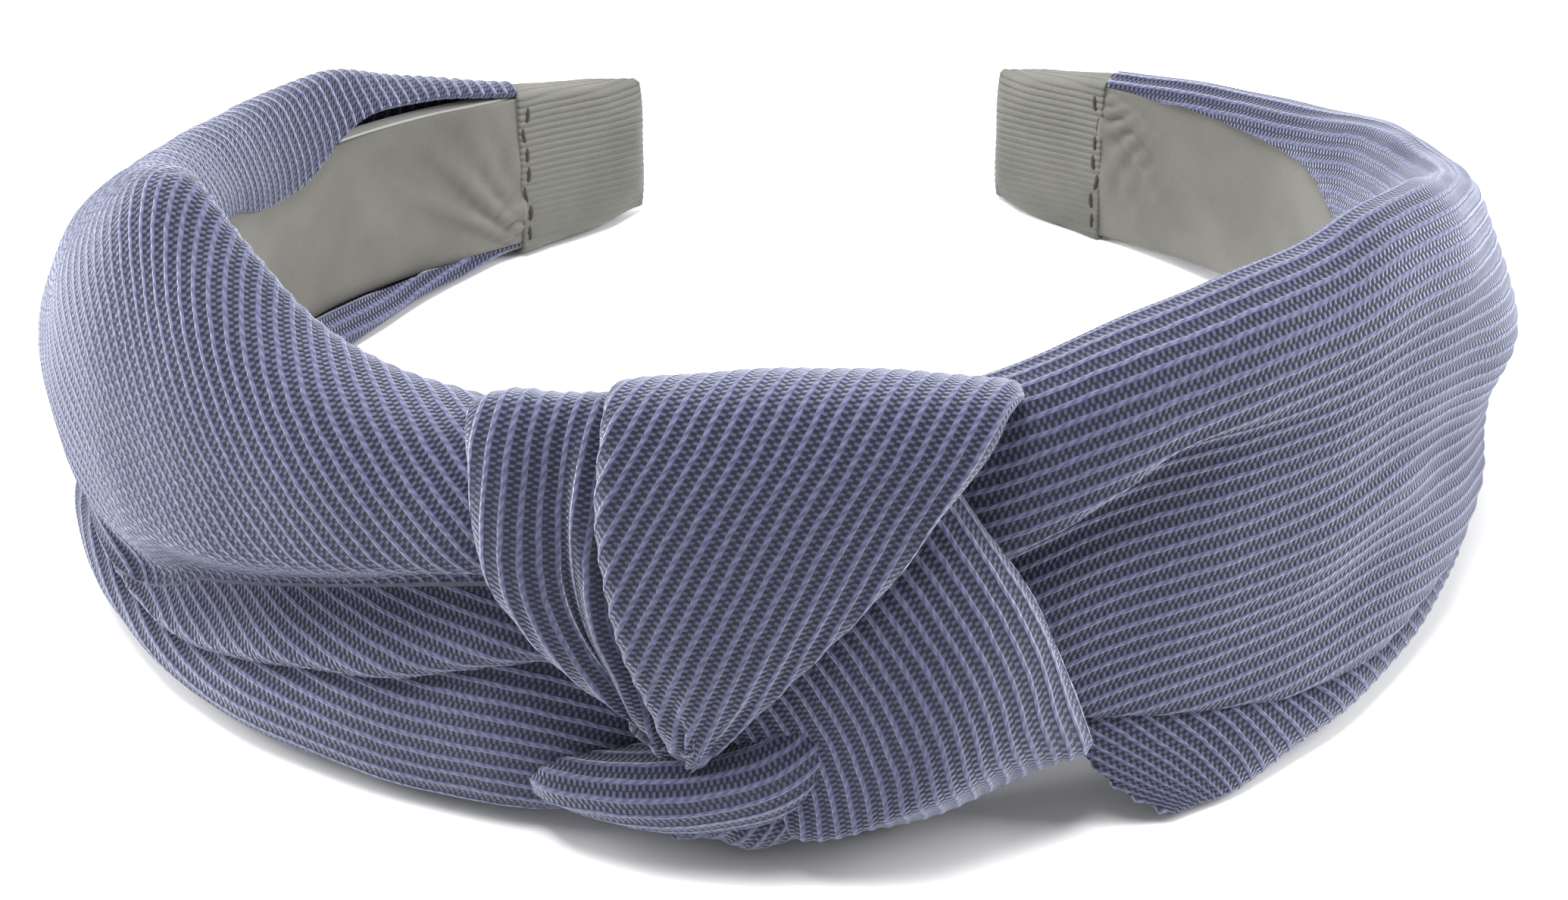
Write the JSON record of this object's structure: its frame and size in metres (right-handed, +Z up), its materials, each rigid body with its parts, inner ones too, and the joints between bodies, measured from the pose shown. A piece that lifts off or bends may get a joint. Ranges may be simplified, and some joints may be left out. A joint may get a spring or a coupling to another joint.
{
  "type": "headband",
  "caption": "Flexible C-shaped hair hoop wrapped in a ribbed fabric band tied in a front knot, lined with ribbon, with a tape sleeve sewn over each tip.",
  "frame": {"origin": "on the surface that the hoop lies on, under the middle of its box", "axes": "+Z up from the surface, -Y towards the knot, +Y towards the two tips, +X across the hoop to the right when the knot faces the viewer"},
  "size_m": [0.1507, 0.128, 0.0481],
  "materials": {
    "core_plastic": "smooth flexible moulded plastic",
    "lining_ribbon": "plain soft woven ribbon",
    "ribbed_fabric": "ribbed fabric with raised cords and dark stitched valleys",
    "grosgrain_tape": "fine ribbed grosgrain tape",
    "seam_thread": "sewing thread"
  },
  "bodies": {
    "crown": {"core_crown": "core_plastic", "lining_crown": "lining_ribbon", "knot_front_wrap": "ribbed_fabric", "knot_left_pleat": "ribbed_fabric", "knot_right_lobe": "ribbed_fabric", "knot_lower_loop": "ribbed_fabric", "knot_bottom_tuck": "ribbed_fabric", "band_left_neck": "ribbed_fabric", "band_right_neck": "ribbed_fabric"},
    "left_arm": {"core_left_arm": "core_plastic", "lining_left_arm": "lining_ribbon", "band_left_side": "ribbed_fabric", "left_tip_tape": "grosgrain_tape", "left_tip_stitches": "seam_thread"},
    "right_arm": {"core_right_arm": "core_plastic", "lining_right_arm": "lining_ribbon", "band_right_side": "ribbed_fabric", "right_tip_tape": "grosgrain_tape", "right_tip_stitches": "seam_thread"}
  },
  "joints": [
    {"name": "left_arm_flex", "type": "hinge", "parent": "crown", "child": "left_arm", "pos_m": [-0.04055, -0.03325, 0.02212], "axis": [0, 0.1426, 0.9898], "range_deg": [-3, 15], "stiffness_Nm_per_rad": 0.6},
    {"name": "right_arm_flex", "type": "hinge", "parent": "crown", "child": "right_arm", "pos_m": [0.04413, -0.03287, 0.02206], "axis": [0, -0.1426, -0.9898], "range_deg": [-3, 15], "stiffness_Nm_per_rad": 0.6}
  ]
}
